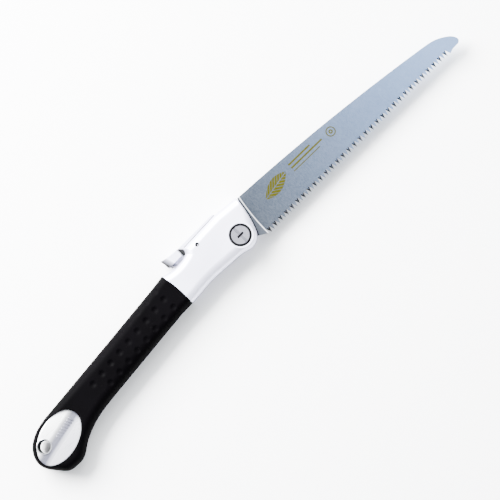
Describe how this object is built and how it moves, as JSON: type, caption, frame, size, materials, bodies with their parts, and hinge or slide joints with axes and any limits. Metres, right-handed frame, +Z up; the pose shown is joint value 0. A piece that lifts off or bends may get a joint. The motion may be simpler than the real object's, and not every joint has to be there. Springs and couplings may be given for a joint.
{
  "type": "folding pruning saw",
  "caption": "Folding pruning saw with a curved-point toothed blade, metal head with lock lever, and a rubber grip ending in an oval metal butt with a lanyard hole.",
  "frame": {"origin": "centre of the bounding box's underside, on the surface that the open saw lies on with its left side down", "axes": "+X towards the blade's tip, +Y towards the back of the blade and the lock lever, +Z up, out of the right side"},
  "size_m": [0.466, 0.0638, 0.021],
  "materials": {
    "blade_steel": "satin ground steel",
    "cast_frame": "fine satin cast alloy",
    "grip_rubber": "soft matt moulded rubber",
    "butt_plate_metal": "satin pressed plate",
    "bolt_steel": "turned nickel-plated steel",
    "fastener_steel": "plain bright steel",
    "lever_metal": "fine satin cast alloy",
    "bush_bronze": "plain bearing bronze",
    "black_steel": "black oxide steel",
    "spring_steel": "drawn spring wire"
  },
  "bodies": {
    "frame": {"frame_right": "cast_frame", "frame_left": "cast_frame", "frame_rivets": "fastener_steel", "grip_sleeve": "grip_rubber", "butt_plate_right": "butt_plate_metal", "butt_plate_left": "butt_plate_metal", "lanyard_tube": "fastener_steel", "pivot_bolt": "bolt_steel", "pivot_nut": "bolt_steel", "nut_lock_washer": "fastener_steel", "pivot_bush": "bush_bronze", "pivot_washer_right": "bush_bronze", "pivot_washer_left": "bush_bronze", "open_stop_pin": "fastener_steel", "folded_stop_pin": "fastener_steel", "lever_pin": "black_steel", "lever_spring": "spring_steel"},
    "blade": {"blade": "blade_steel"},
    "lever": {"lock_lever": "lever_metal"}
  },
  "joints": [
    {"name": "blade_fold", "type": "hinge", "parent": "frame", "child": "blade", "pos_m": [0.00488, 0.0015, 0.0105], "axis": [0, 0, -1], "range_deg": [0, 172]},
    {"name": "lever_press", "type": "hinge", "parent": "frame", "child": "lever", "pos_m": [-0.02402, 0.0207, 0.0105], "axis": [0, 0, 1], "range_deg": [-3.4, 3], "stiffness_Nm_per_rad": 0.3, "springref_deg": -5.73, "deforming": ["lever_spring"]}
  ]
}
